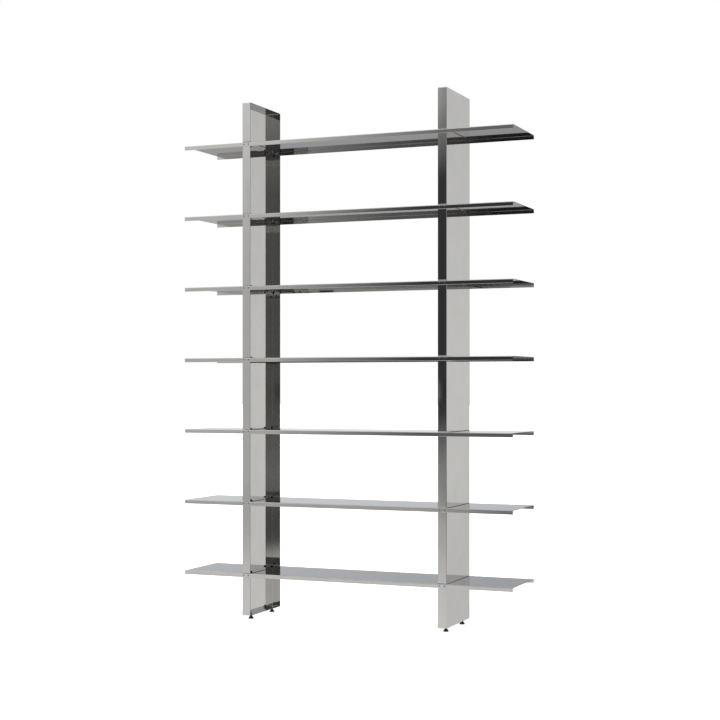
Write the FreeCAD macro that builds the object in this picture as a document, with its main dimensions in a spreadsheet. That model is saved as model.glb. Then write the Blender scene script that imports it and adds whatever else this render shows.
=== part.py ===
# Free-standing shelving unit in polished stainless sheet, in millimetres.
# Seven folded shelves run through two uprights. Each upright is a stack of shallow folded trays,
# and every shelf is bolted between the tray above it and the tray below it.
# Origin: middle of the unit on the floor. +Z is up, +X is along the shelves, the front faces -Y.

import FreeCAD
import Part
import Sketcher
import math
import os

doc = FreeCAD.newDocument("shelving_unit")
Vector = FreeCAD.Vector

# Driving dimensions: alias, value, what it is
DIMENSIONS = (
    ("shelf_count", 7, "number of shelves"),
    ("shelf_length", 1450, "shelf from raw end to raw end"),
    ("shelf_depth", 292, "shelf over both flanges"),
    ("shelf_sheet", 2, "shelf sheet thickness"),
    ("shelf_flange", 17, "flange height, from the shelf's top face to its lower edge"),
    ("shelf_bend_inner", 1, "inside radius of the shelf's folds"),
    ("shelf_pitch", 300, "one shelf's top face to the next"),
    ("upright_clear", 830, "clear distance between the mouths of the two uprights"),
    ("tray_width", 37, "tray from web to mouth"),
    ("tray_sheet", 1.5, "tray sheet thickness"),
    ("tray_bend_inner", 1, "inside radius of the folds along the web"),
    ("tray_corner_extra", 1.5, "how much rounder the dressed corners are than the folds"),
    ("base_tray_height", 174, "tray under the lowest shelf"),
    ("top_tray_height", 166, "tray above the highest shelf"),
    ("fold_gap", 0.1, "gap between a tray's face and the flange that wraps it"),
    ("bolt_inset", 44, "stack bolt to the tray's front or back face"),
    ("bolt_shank", 6, "stack bolt diameter"),
    ("bolt_hole", 6.6, "clearance hole of a stack bolt"),
    ("bolt_flats", 10, "across flats of the bolt head"),
    ("bolt_head", 4, "height of the bolt head"),
    ("bolt_length", 16, "stack bolt under its head"),
    ("washer_outer", 12, "washer diameter"),
    ("washer_sheet", 1.6, "washer thickness"),
    ("nut_flats", 10, "across flats of the stack nut"),
    ("nut_height", 5, "height of the stack nut"),
    ("thread_gap", 0.06, "radial gap between a thread and its nut"),
    ("screw_shank", 3, "flange screw diameter"),
    ("screw_hole", 3.4, "clearance hole of a flange screw"),
    ("screw_length", 7, "flange screw under its head"),
    ("screw_head_width", 5.6, "flange screw head diameter"),
    ("screw_head", 1.6, "height of the screw head"),
    ("screw_head_rim", 0.5, "straight rim of the screw head below its dome"),
    ("screw_head_crown", 3.4, "diameter of the flat on the dome"),
    ("screw_socket_flats", 2, "across flats of the hexagon socket"),
    ("screw_socket_depth", 0.9, "depth of the hexagon socket"),
    ("screw_spacing", 21, "between the two screws of a crossing"),
    ("screw_drop", 2.75, "from the underside of the tray's roof to the screw's shank"),
    ("foot_inset", 44, "foot to the tray's front or back face"),
    ("foot_hole", 9, "hole for the stem in the tray's floor"),
    ("foot_travel", 5, "how far a foot screws out"),
    ("stem_thread", 8, "stem diameter"),
    ("stem_spare", 0.5, "stem left above the weld nut when the foot is fully out"),
    ("stem_show", 1.2, "thread showing between the stem's hexagon and the lock nut"),
    ("stem_tip_bevel", 1, "bevel at the stem's upper end"),
    ("collar_flats", 10, "across flats of the stem's hexagon"),
    ("collar_height", 4, "height of the stem's hexagon"),
    ("weld_nut_flats", 13, "across flats of the weld nut"),
    ("weld_nut_height", 4, "height of the weld nut"),
    ("lock_nut_flats", 13, "across flats of the lock nut"),
    ("lock_nut_height", 4, "height of the lock nut"),
    ("pad_base", 22, "foot pad diameter on the floor"),
    ("pad_top", 14, "foot pad diameter at its top"),
    ("pad_height", 8.5, "height of the foot pad"),
    ("pad_rim", 2.5, "straight rim of the foot pad"),
    ("pad_foot_bevel", 0.6, "bevel round the foot pad's lower edge"),
    ("pad_socket", 4.3, "depth of the swivel socket in the pad"),
    ("swivel_gap", 0.3, "gap between the stem and the pad, above and below"),
    ("overrun", 5, "how far a cut runs past the sheet that it goes through"),
)

sheet = doc.addObject("Spreadsheet::Sheet", "Dims")
for row, (alias, value, meaning) in enumerate(DIMENSIONS, start=1):
    sheet.set(f"A{row}", meaning)
    sheet.set(f"B{row}", str(value))
    sheet.setAlias(f"B{row}", alias)
doc.recompute()

# Derived sizes, as expressions of the driving ones
HALF_SHELF = "(Dims.shelf_depth / 2)"
SHELF_BEND_OUTER = "(Dims.shelf_bend_inner + Dims.shelf_sheet)"
HALF_TRAY = "(Dims.shelf_depth / 2 - Dims.shelf_sheet - Dims.fold_gap)"
HALF_WIDTH = "(Dims.tray_width / 2)"
CORNER_INNER = "(Dims.tray_bend_inner + Dims.tray_corner_extra)"
CORNER_OUTER = "(Dims.tray_bend_inner + Dims.tray_corner_extra + Dims.tray_sheet)"
BEND_OUTER = "(Dims.tray_bend_inner + Dims.tray_sheet)"
BAY_TRAY_HEIGHT = "(Dims.shelf_pitch - Dims.shelf_sheet)"
WEB_X = "(Dims.upright_clear / 2 + Dims.tray_width)"
AXIS_X = "(Dims.upright_clear / 2 + Dims.tray_width / 2)"
BOLT_Y = f"({HALF_TRAY} - Dims.bolt_inset)"
FOOT_Y = f"({HALF_TRAY} - Dims.foot_inset)"
SCREW_DEPTH = "(Dims.shelf_sheet + Dims.tray_sheet + Dims.screw_drop + Dims.screw_shank / 2)"
STACK_RISE = "(Dims.shelf_pitch * (Dims.shelf_count - 1))"

# Heights above the floor, as expressions
COLLAR_Z = "(Dims.pad_height + Dims.swivel_gap)"
LOCK_NUT_Z = f"({COLLAR_Z} + Dims.collar_height + Dims.stem_show)"
BASE_Z = f"({LOCK_NUT_Z} + Dims.lock_nut_height)"
WELD_NUT_Z = f"({BASE_Z} + Dims.tray_sheet)"
STEM_TOP_Z = f"({WELD_NUT_Z} + Dims.weld_nut_height + Dims.foot_travel + Dims.stem_spare)"
STEM_FOOT_Z = "(Dims.pad_height - Dims.pad_socket + Dims.swivel_gap)"
LOWEST_SHELF_Z = f"({BASE_Z} + Dims.base_tray_height + Dims.shelf_sheet)"
BOLT_SEAT_Z = f"({LOWEST_SHELF_Z} + Dims.tray_sheet)"
ROOF_UNDERSIDE_Z = f"({LOWEST_SHELF_Z} - Dims.shelf_sheet - Dims.tray_sheet)"
WASHER_Z = f"({ROOF_UNDERSIDE_Z} - Dims.washer_sheet)"
NUT_Z = f"({WASHER_Z} - Dims.nut_height)"
SCREW_Z = f"({LOWEST_SHELF_Z} - {SCREW_DEPTH})"

HEX_CORNER_SHARE = 1 / math.sqrt(3)
MOST_LEFT_BY_HOLLOW_SHARE = 0.9
LENGTH_TOLERANCE = 1e-6


def value_of(expression):
    """Return an expression's present value as a plain number."""
    return float(sheet.evalExpression(expression.replace("Dims.", "")))


def new_body(label):
    """Return an empty body that carries the node's name."""
    body = doc.addObject("PartDesign::Body", label)
    body.Label = label
    return body


def origin_feature(body, role):
    """Return the body's own origin plane or axis with this role."""
    return next(item for item in body.Origin.OriginFeatures if item.Role == role)


def new_sketch(body, name, role, lift=None):
    """Return a sketch on an origin plane of the body, lifted along the plane's normal."""
    sketch = body.newObject("Sketcher::SketchObject", name)
    sketch.AttachmentSupport = (origin_feature(body, role), "")
    sketch.MapMode = "FlatFace"
    if lift is not None:
        sketch.setExpression("AttachmentOffset.Base.z", lift)
    return sketch


def pin_point(sketch, geometry, position, across, up):
    """Hold a point of a sketch at two expressions, measured from the sketch's origin."""
    for kind, axis, expression in (("DistanceX", -2, across), ("DistanceY", -1, up)):
        distance = value_of(expression)
        if abs(distance) < LENGTH_TOLERANCE:
            sketch.addConstraint(Sketcher.Constraint("PointOnObject", geometry, position, axis))
        elif distance > 0:
            index = sketch.addConstraint(
                Sketcher.Constraint(kind, -1, 1, geometry, position, distance))
            sketch.setExpression(f"Constraints[{index}]", expression)
        else:
            index = sketch.addConstraint(
                Sketcher.Constraint(kind, geometry, position, -1, 1, -distance))
            sketch.setExpression(f"Constraints[{index}]", f"-{expression}")


def draw_outline(sketch, points):
    """Draw a closed outline whose corners are pairs of expressions."""
    places = [Vector(value_of(across), value_of(up), 0) for across, up in points]
    for index, place in enumerate(places):
        following = places[(index + 1) % len(places)]
        sketch.addGeometry(Part.LineSegment(place, following), False)
    for index, (across, up) in enumerate(points):
        following = (index + 1) % len(points)
        sketch.addConstraint(Sketcher.Constraint("Coincident", index, 2, following, 1))
        pin_point(sketch, index, 1, across, up)


def draw_circle(sketch, across, up, diameter):
    """Draw a circle from three expressions."""
    centre = Vector(value_of(across), value_of(up), 0)
    radius = value_of(diameter) / 2
    index = sketch.addGeometry(Part.Circle(centre, Vector(0, 0, 1), radius), False)
    pin_point(sketch, index, 3, across, up)
    size = sketch.addConstraint(Sketcher.Constraint("Diameter", index, 2 * radius))
    sketch.setExpression(f"Constraints[{size}]", diameter)


def draw_hexagon(sketch, flats):
    """Draw a hexagon about the sketch's origin from its width across flats."""
    corner = value_of(flats) * HEX_CORNER_SHARE
    places = []
    for index in range(6):
        turn = math.radians(60 * index)
        places.append(Vector(corner * math.cos(turn), corner * math.sin(turn), 0))
    for index in range(6):
        sketch.addGeometry(Part.LineSegment(places[index], places[(index + 1) % 6]), False)
    rim = sketch.addGeometry(Part.Circle(Vector(0, 0, 0), Vector(0, 0, 1), corner), True)
    sketch.addConstraint(Sketcher.Constraint("Coincident", rim, 3, -1, 1))
    for index in range(6):
        sketch.addConstraint(Sketcher.Constraint("Coincident", index, 2, (index + 1) % 6, 1))
        sketch.addConstraint(Sketcher.Constraint("PointOnObject", index, 1, rim))
    for index in range(5):
        sketch.addConstraint(Sketcher.Constraint("Equal", index, index + 1))
    sketch.addConstraint(Sketcher.Constraint("PointOnObject", 0, 1, -1))
    size = sketch.addConstraint(Sketcher.Constraint("Radius", rim, corner))
    sketch.setExpression(f"Constraints[{size}]", f"{flats} / sqrt(3)")


def draw_rounded_rectangle(sketch, half_across, half_up, radius):
    """Draw a rectangle with rounded corners, centred on the sketch's origin."""
    across = value_of(half_across)
    up = value_of(half_up)
    corner = value_of(radius)
    inner_across = across - corner
    inner_up = up - corner
    lines = (
        ((-inner_across, -up), (inner_across, -up)),
        ((across, -inner_up), (across, inner_up)),
        ((inner_across, up), (-inner_across, up)),
        ((-across, inner_up), (-across, -inner_up)),
    )
    for start, end in lines:
        sketch.addGeometry(Part.LineSegment(Vector(*start, 0), Vector(*end, 0)), False)
    centres = ((inner_across, -inner_up), (inner_across, inner_up),
               (-inner_across, inner_up), (-inner_across, -inner_up))
    for index, centre in enumerate(centres):
        circle = Part.Circle(Vector(*centre, 0), Vector(0, 0, 1), corner)
        start = math.radians(90 * index - 90)
        sketch.addGeometry(Part.ArcOfCircle(circle, start, start + math.radians(90)), False)
    for index in range(4):
        arc = 4 + index
        sketch.addConstraint(Sketcher.Constraint("Tangent", index, 2, arc, 1))
        sketch.addConstraint(Sketcher.Constraint("Tangent", arc, 2, (index + 1) % 4, 1))
    for index in (0, 2):
        sketch.addConstraint(Sketcher.Constraint("Horizontal", index))
        sketch.addConstraint(Sketcher.Constraint("Vertical", index + 1))
    for index in (5, 6, 7):
        sketch.addConstraint(Sketcher.Constraint("Equal", 4, index))
    size = sketch.addConstraint(Sketcher.Constraint("Radius", 4, corner))
    sketch.setExpression(f"Constraints[{size}]", radius)
    sides = (("DistanceY", (0, 1, -1, 1), half_up), ("DistanceX", (-1, 1, 1, 1), half_across),
             ("DistanceY", (-1, 1, 2, 1), half_up), ("DistanceX", (3, 1, -1, 1), half_across))
    for kind, ends, expression in sides:
        index = sketch.addConstraint(Sketcher.Constraint(kind, *ends, value_of(expression)))
        sketch.setExpression(f"Constraints[{index}]", expression)


def extrude(body, kind, name, sketch, length, reverse=False, symmetric=False):
    """Pad or pocket a sketch by an expression and return the feature."""
    feature = body.newObject(f"PartDesign::{kind}", name)
    feature.Profile = sketch
    feature.Reversed = reverse
    feature.Midplane = symmetric
    feature.setExpression("Length", length)
    sketch.Visibility = False
    feature.recompute(True)
    return feature


def revolve(body, name, sketch, role):
    """Turn a sketch a full circle about one of the body's own axes."""
    feature = body.newObject("PartDesign::Revolution", name)
    feature.Profile = sketch
    feature.ReferenceAxis = (origin_feature(body, role), [""])
    feature.Angle = 360
    feature.recompute(True)
    return feature


def round_edges(body, name, base, wanted, radius):
    """Fillet the base feature's edges that pass the test by an expression."""
    edges = [f"Edge{index}" for index, edge in enumerate(base.Shape.Edges, start=1) if wanted(edge)]
    feature = body.newObject("PartDesign::Fillet", name)
    feature.Base = (base, edges)
    feature.setExpression("Radius", radius)
    feature.recompute(True)
    return feature


def repeat(body, originals, directions):
    """Repeat features along axes; each direction is a role, a whole length and a count."""
    pattern = body.newObject("PartDesign::MultiTransform", f"{body.Label}_pattern")
    pattern.Originals = originals
    steps = []
    for role, length, count in directions:
        step = doc.addObject("PartDesign::LinearPattern", f"{body.Label}_{role.lower()}")
        step.Direction = (origin_feature(body, role), [""])
        step.setExpression("Length", length)
        step.setExpression("Occurrences", count)
        steps.append(step)
    pattern.Transformations = steps
    body.Tip = pattern


def place(body, across, deep, up, turned=False):
    """Set a body by three expressions, turned half round for the right-hand side if asked."""
    body.Placement = FreeCAD.Placement(Vector(), FreeCAD.Rotation(Vector(0, 0, 1), 180 if turned else 0))
    for axis, expression in (("x", across), ("y", deep), ("z", up)):
        body.setExpression(f"Placement.Base.{axis}", expression)


# Shelves: local origin at the middle of the top face, flanges downwards
def make_shelf(label, top_z):
    """Fold one shelf, drill it for both uprights and set its top face at a height."""
    body = new_body(label)
    inner = f"({HALF_SHELF} - Dims.shelf_sheet)"
    profile = new_sketch(body, f"{label}_profile", "YZ_Plane")
    draw_outline(profile, (
        (f"-{HALF_SHELF}", "-Dims.shelf_flange"), (f"-{HALF_SHELF}", "0"),
        (HALF_SHELF, "0"), (HALF_SHELF, "-Dims.shelf_flange"),
        (inner, "-Dims.shelf_flange"), (inner, "-Dims.shelf_sheet"),
        (f"-{inner}", "-Dims.shelf_sheet"), (f"-{inner}", "-Dims.shelf_flange")))
    channel = extrude(body, "Pad", f"{label}_channel", profile, "Dims.shelf_length", symmetric=True)
    fold_y = value_of(HALF_SHELF)
    inner_y = value_of(inner)
    inner_z = value_of("-Dims.shelf_sheet")

    def at_outer_fold(edge):
        middle = edge.CenterOfMass
        on_corner = abs(abs(middle.y) - fold_y) < LENGTH_TOLERANCE and abs(middle.z) < LENGTH_TOLERANCE
        return on_corner and edge.Length > fold_y

    def at_inner_fold(edge):
        middle = edge.CenterOfMass
        on_corner = (abs(abs(middle.y) - inner_y) < LENGTH_TOLERANCE
                     and abs(middle.z - inner_z) < LENGTH_TOLERANCE)
        return on_corner and edge.Length > fold_y

    folded = round_edges(body, f"{label}_outer_folds", channel, at_outer_fold, SHELF_BEND_OUTER)
    round_edges(body, f"{label}_inner_folds", folded, at_inner_fold, "Dims.shelf_bend_inner")

    bolts = new_sketch(body, f"{label}_bolt_circles", "XY_Plane")
    flanges = new_sketch(body, f"{label}_screw_circles", "XZ_Plane")
    for side in ("-", ""):
        for end in ("-", ""):
            draw_circle(bolts, f"{side}{AXIS_X}", f"{end}{BOLT_Y}", "Dims.bolt_hole")
        for step in ("-", "+"):
            across = f"({side}{AXIS_X} {step} Dims.screw_spacing / 2)"
            draw_circle(flanges, across, f"-{SCREW_DEPTH}", "Dims.screw_hole")
    extrude(body, "Pocket", f"{label}_bolt_holes", bolts, "Dims.shelf_sheet + Dims.overrun")
    extrude(body, "Pocket", f"{label}_screw_holes", flanges, "Dims.shelf_depth + Dims.overrun", symmetric=True)
    place(body, "0", "0", top_z)
    return body


# Trays: local origin at the middle of the web's outer face, mouth towards +X
def make_tray(label, height, bottom_z, turned, floor_hole, floor_y, under_shelf):
    """Fold one tray, drill its floor, and its roof and faces too where a shelf lies on it."""
    body = new_body(label)
    half_height = f"({height} / 2)"
    outline = new_sketch(body, f"{label}_outline", "YZ_Plane")
    draw_rounded_rectangle(outline, HALF_TRAY, half_height, CORNER_OUTER)
    block = extrude(body, "Pad", f"{label}_block", outline, "Dims.tray_width")
    rounded = round_edges(body, f"{label}_outer_folds", block,
                          lambda edge: edge.BoundBox.XMax < LENGTH_TOLERANCE, BEND_OUTER)
    web = value_of("Dims.tray_sheet")
    hollow = new_sketch(body, f"{label}_hollow_outline", "YZ_Plane", "Dims.tray_sheet")
    draw_rounded_rectangle(hollow, f"({HALF_TRAY} - Dims.tray_sheet)",
                           f"({height} / 2 - Dims.tray_sheet)", CORNER_INNER)
    hollowed = extrude(body, "Pocket", f"{label}_hollow", hollow, "Dims.tray_width", reverse=True)
    if hollowed.Shape.Volume > MOST_LEFT_BY_HOLLOW_SHARE * rounded.Shape.Volume:
        raise RuntimeError(f"{label}: the hollow wasn't cut")
    round_edges(body, f"{label}_inner_folds", hollowed,
                lambda edge: abs(edge.BoundBox.XMin - web) < LENGTH_TOLERANCE
                and abs(edge.BoundBox.XMax - web) < LENGTH_TOLERANCE, "Dims.tray_bend_inner")

    depth_of_cut = "Dims.tray_sheet + Dims.overrun"
    floor = new_sketch(body, f"{label}_floor_circles", "XY_Plane", f"-{half_height}")
    for end in ("-", ""):
        draw_circle(floor, HALF_WIDTH, f"{end}{floor_y}", floor_hole)
    extrude(body, "Pocket", f"{label}_floor_holes", floor, depth_of_cut, reverse=True)
    if under_shelf:
        roof = new_sketch(body, f"{label}_roof_circles", "XY_Plane", half_height)
        for end in ("-", ""):
            draw_circle(roof, HALF_WIDTH, f"{end}{BOLT_Y}", "Dims.bolt_hole")
        extrude(body, "Pocket", f"{label}_roof_holes", roof, depth_of_cut)
        faces = new_sketch(body, f"{label}_screw_circles", "XZ_Plane")
        tapped = "Dims.screw_shank + 2 * Dims.thread_gap"
        for step in ("-", "+"):
            draw_circle(faces, f"({HALF_WIDTH} {step} Dims.screw_spacing / 2)",
                        f"({half_height} + Dims.shelf_sheet - {SCREW_DEPTH})", tapped)
        extrude(body, "Pocket", f"{label}_screw_holes", faces, "Dims.shelf_depth", symmetric=True)
    across = WEB_X if turned else f"-{WEB_X}"
    place(body, across, "0", f"{bottom_z} + {half_height}", turned)
    return body


# Hexagon bolts, nuts and washers, repeated over the crossings of one upright
def make_stack_bolts(label, across):
    """Make the bolts of one upright: heads on the tray floors, shanks downwards."""
    body = new_body(label)
    head = new_sketch(body, f"{label}_head_outline", "XY_Plane")
    draw_hexagon(head, "Dims.bolt_flats")
    head_pad = extrude(body, "Pad", f"{label}_head", head, "Dims.bolt_head")
    shank = new_sketch(body, f"{label}_shank_outline", "XY_Plane")
    draw_circle(shank, "0", "0", "Dims.bolt_shank")
    shank_pad = extrude(body, "Pad", f"{label}_shank", shank, "Dims.bolt_length", reverse=True)
    repeat(body, [head_pad, shank_pad], crossing_grid())
    place(body, across, f"-{BOLT_Y}", BOLT_SEAT_Z)
    return body


def make_washers(label, across):
    """Make the washers of one upright, against the tray roofs."""
    body = new_body(label)
    ring = new_sketch(body, f"{label}_outline", "XY_Plane")
    draw_circle(ring, "0", "0", "Dims.washer_outer")
    draw_circle(ring, "0", "0", "Dims.bolt_hole")
    ring_pad = extrude(body, "Pad", f"{label}_ring", ring, "Dims.washer_sheet")
    repeat(body, [ring_pad], crossing_grid())
    place(body, across, f"-{BOLT_Y}", WASHER_Z)
    return body


def crossing_grid():
    """Return the pattern of stack bolts in one upright: front and back, at every shelf."""
    return (("Y_Axis", f"2 * {BOLT_Y}", "2"), ("Z_Axis", STACK_RISE, "Dims.shelf_count"))


def make_nuts(label, across, deep, up, flats, height, bore, directions):
    """Make a group of hexagon nuts that share one size."""
    body = new_body(label)
    outline = new_sketch(body, f"{label}_outline", "XY_Plane")
    draw_hexagon(outline, flats)
    draw_circle(outline, "0", "0", bore)
    nut = extrude(body, "Pad", f"{label}_nut", outline, height)
    repeat(body, [nut], directions)
    place(body, across, deep, up)
    return body


# Flange screws: local origin under the head, shank towards +Y
def make_flange_screws(label, across, deep, turned):
    """Make the screws of one upright on one face: a domed head with a hexagon socket."""
    body = new_body(label)
    profile = new_sketch(body, f"{label}_profile", "XY_Plane")
    draw_outline(profile, (
        ("0", "Dims.screw_length"), ("0", "-Dims.screw_head"),
        ("(Dims.screw_head_crown / 2)", "-Dims.screw_head"),
        ("(Dims.screw_head_width / 2)", "-Dims.screw_head_rim"),
        ("(Dims.screw_head_width / 2)", "0"), ("(Dims.screw_shank / 2)", "0"),
        ("(Dims.screw_shank / 2)", "Dims.screw_length")))
    turned_form = revolve(body, f"{label}_form", profile, "Y_Axis")
    socket = new_sketch(body, f"{label}_socket_outline", "XZ_Plane", "Dims.screw_head")
    draw_hexagon(socket, "Dims.screw_socket_flats")
    socket_cut = extrude(body, "Pocket", f"{label}_socket", socket, "Dims.screw_socket_depth")
    if socket_cut.Shape.Volume > turned_form.Shape.Volume - LENGTH_TOLERANCE:
        raise RuntimeError(f"{label}: the socket wasn't cut")
    repeat(body, [turned_form, socket_cut],
           (("X_Axis", "Dims.screw_spacing", "2"), ("Z_Axis", STACK_RISE, "Dims.shelf_count")))
    sign = "+" if turned else "-"
    place(body, f"{across} {sign} Dims.screw_spacing / 2", deep, SCREW_Z, turned)
    return body


# Levelling feet: local origin on the floor, on the foot's axis
def make_foot_stem(label, across, deep):
    """Turn one threaded stem with its swivel end, and add the hexagon that it is turned by."""
    body = new_body(label)
    radius = "(Dims.stem_thread / 2)"
    tip = f"({STEM_TOP_Z} - Dims.stem_tip_bevel)"
    profile = new_sketch(body, f"{label}_profile", "XZ_Plane")
    draw_outline(profile, (
        ("0", STEM_FOOT_Z), (radius, STEM_FOOT_Z), (radius, tip),
        (f"({radius} - Dims.stem_tip_bevel)", STEM_TOP_Z), ("0", STEM_TOP_Z)))
    revolve(body, f"{label}_thread", profile, "Z_Axis")
    collar = new_sketch(body, f"{label}_collar_outline", "XY_Plane", COLLAR_Z)
    draw_hexagon(collar, "Dims.collar_flats")
    extrude(body, "Pad", f"{label}_collar", collar, "Dims.collar_height")
    place(body, across, deep, "0")
    return body


def make_foot_pad(label, across, deep):
    """Turn one round pad with the socket that the stem swivels in."""
    body = new_body(label)
    base = "(Dims.pad_base / 2)"
    bore = "(Dims.stem_thread / 2 + Dims.thread_gap)"
    profile = new_sketch(body, f"{label}_profile", "XZ_Plane")
    draw_outline(profile, (
        ("0", "0"), (f"({base} - Dims.pad_foot_bevel)", "0"), (base, "Dims.pad_foot_bevel"),
        (base, "Dims.pad_rim"), ("(Dims.pad_top / 2)", "Dims.pad_height"), (bore, "Dims.pad_height"),
        (bore, "(Dims.pad_height - Dims.pad_socket)"), ("0", "(Dims.pad_height - Dims.pad_socket)")))
    revolve(body, f"{label}_form", profile, "Z_Axis")
    place(body, across, deep, "0")
    return body


# The whole unit
nodes = []
shelf_count = int(value_of("Dims.shelf_count"))
for number in range(shelf_count):
    rise = f"{number} * Dims.shelf_pitch"
    nodes.append(make_shelf(f"shelf_{number + 1}", f"{LOWEST_SHELF_Z} + {rise}"))

for side, turned in (("left", False), ("right", True)):
    axis_x = AXIS_X if turned else f"-{AXIS_X}"
    nodes.append(make_tray(f"{side}_base_tray", "Dims.base_tray_height", BASE_Z, turned,
                           "Dims.foot_hole", FOOT_Y, under_shelf=True))
    for number in range(shelf_count - 1):
        bottom = f"({LOWEST_SHELF_Z} + {number} * Dims.shelf_pitch)"
        nodes.append(make_tray(f"{side}_bay_tray_{number + 1}", BAY_TRAY_HEIGHT, bottom, turned,
                               "Dims.bolt_hole", BOLT_Y, under_shelf=True))
    nodes.append(make_tray(f"{side}_top_tray", "Dims.top_tray_height",
                           f"({LOWEST_SHELF_Z} + {STACK_RISE})", turned,
                           "Dims.bolt_hole", BOLT_Y, under_shelf=False))

    nodes.append(make_stack_bolts(f"{side}_stack_bolts", axis_x))
    nodes.append(make_washers(f"{side}_stack_washers", axis_x))
    nodes.append(make_nuts(f"{side}_stack_nuts", axis_x, f"-{BOLT_Y}", NUT_Z, "Dims.nut_flats",
                           "Dims.nut_height", "Dims.bolt_shank + 2 * Dims.thread_gap", crossing_grid()))
    nodes.append(make_flange_screws(f"{side}_front_screws", axis_x, f"-{HALF_SHELF}", False))
    nodes.append(make_flange_screws(f"{side}_back_screws", axis_x, HALF_SHELF, True))

    stem_bore = "Dims.stem_thread + 2 * Dims.thread_gap"
    pair = (("Y_Axis", f"2 * {FOOT_Y}", "2"),)
    nodes.append(make_nuts(f"{side}_weld_nuts", axis_x, f"-{FOOT_Y}", WELD_NUT_Z,
                           "Dims.weld_nut_flats", "Dims.weld_nut_height", stem_bore, pair))
    nodes.append(make_nuts(f"{side}_lock_nuts", axis_x, f"-{FOOT_Y}", LOCK_NUT_Z,
                           "Dims.lock_nut_flats", "Dims.lock_nut_height", stem_bore, pair))
    for end, foot_y in (("front", f"-{FOOT_Y}"), ("back", FOOT_Y)):
        nodes.append(make_foot_stem(f"{side}_{end}_foot_stem", axis_x, foot_y))
        nodes.append(make_foot_pad(f"{side}_{end}_foot_pad", axis_x, foot_y))

doc.recompute()

# Nothing is written unless every object and every shape is sound
for item in doc.Objects:
    if "Invalid" in item.State or "Error" in item.State:
        raise RuntimeError(f"{item.Label} failed: {item.State}")
for node in nodes:
    if node.Shape.isNull() or not node.Shape.isValid() or not node.Shape.Solids:
        raise RuntimeError(f"{node.Label} has no sound shape")

os.makedirs("parts", exist_ok=True)
for node in nodes:
    node.Shape.exportStep(os.path.join("parts", f"{node.Label}.step"))
    print(f"{node.Label}: {len(node.Shape.Solids)} solid(s), {node.Shape.Volume:.0f} mm3")
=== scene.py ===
"""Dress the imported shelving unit: folded polished sheet, its fasteners and its levelling feet.

Every size is in millimetres until it reaches a mesh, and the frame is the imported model's own:
+Z up, +X along the shelves, the front towards -Y, the floor at zero.
"""

from __future__ import annotations

import logging
import math
from dataclasses import dataclass
from enum import Enum
from typing import Any, Callable, Iterable, Sequence

import bmesh
import bpy
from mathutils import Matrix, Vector

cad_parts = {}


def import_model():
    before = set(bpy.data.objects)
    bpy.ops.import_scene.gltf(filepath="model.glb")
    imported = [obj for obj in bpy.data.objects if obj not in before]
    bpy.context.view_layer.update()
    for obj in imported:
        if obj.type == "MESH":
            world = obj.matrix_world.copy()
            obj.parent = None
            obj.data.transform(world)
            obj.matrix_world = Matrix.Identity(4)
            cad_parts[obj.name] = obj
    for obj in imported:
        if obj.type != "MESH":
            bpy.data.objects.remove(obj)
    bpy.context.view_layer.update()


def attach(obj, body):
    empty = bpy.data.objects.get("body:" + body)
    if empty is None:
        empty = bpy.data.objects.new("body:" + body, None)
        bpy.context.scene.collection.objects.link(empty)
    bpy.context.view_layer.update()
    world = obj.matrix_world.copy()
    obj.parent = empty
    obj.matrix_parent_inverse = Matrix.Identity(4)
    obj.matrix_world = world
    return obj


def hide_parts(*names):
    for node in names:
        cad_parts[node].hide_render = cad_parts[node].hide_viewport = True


LOG = logging.getLogger("shelving_unit")
MM = 0.001
QUARTER_TURN = math.radians(90.0)
FULL_CIRCLE = 360.0
FRAME_BODY = "frame"
# A direction lies along an axis when more than this share of it does.
MOSTLY = 0.5
# Places closer than this, in metres, are the same.
TOUCH = 1e-6
# How far a cutting tool runs past what it cuts, in millimetres.
OVERRUN = 1.0
BOLT_HOLE_SIDES = 24
SCREW_HOLE_SIDES = 20

Point = tuple[float, float, float]
Span = tuple[float, float]
Profile = Sequence[tuple[float, float]]
Test = Callable[[Vector, Vector], bool]


class Side(Enum):
    """The two uprights, each with the sign of its X."""

    LEFT = -1
    RIGHT = 1

    @property
    def word(self) -> str:
        """Return the side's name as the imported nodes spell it."""
        return self.name.lower()


class End(Enum):
    """Front and back, each with the sign of its Y."""

    FRONT = -1
    BACK = 1

    @property
    def word(self) -> str:
        """Return the end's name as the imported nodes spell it."""
        return self.name.lower()


class Pick(Enum):
    """What a selection in edit mode takes hold of."""

    FACES = "FACE"
    EDGES = "EDGE"


class Cut(Enum):
    """What a cut leaves of a piece."""

    AWAY = "DIFFERENCE"
    SHARED = "INTERSECT"


class PolishRun(Enum):
    """The way the polishing wheel ran over a sheet, as how often its marks repeat along X, Y and Z."""

    ALONG_SHELF = (0.012, 1.0, 1.0)
    UP_TRAY = (1.0, 1.0, 0.012)


class Slot(Enum):
    """Names of the material slots."""

    SHEET = "polished_stainless"
    SCREW = "stainless_screw"
    BLACKENED = "blackened_steel"
    NUT = "zinc_plated_steel"
    PAD = "black_plastic"


# Colour and node helpers


def linear(hex_colour: str) -> tuple[float, float, float, float]:
    """Turn an sRGB hex colour into linear light.

    Args:
        hex_colour: the colour as six hex digits after a hash.

    Returns:
        Linear red, green, blue and an alpha of one.
    """
    parts = [int(hex_colour[i:i + 2], 16) / 255 for i in (1, 3, 5)]
    light = [c / 12.92 if c <= 0.04045 else ((c + 0.055) / 1.055) ** 2.4 for c in parts]
    return (light[0], light[1], light[2], 1.0)


def per_metre(feature_mm: float) -> float:
    """Return the texture scale that draws a feature of this size in millimetres."""
    return 1.0 / (feature_mm * MM)


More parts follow.
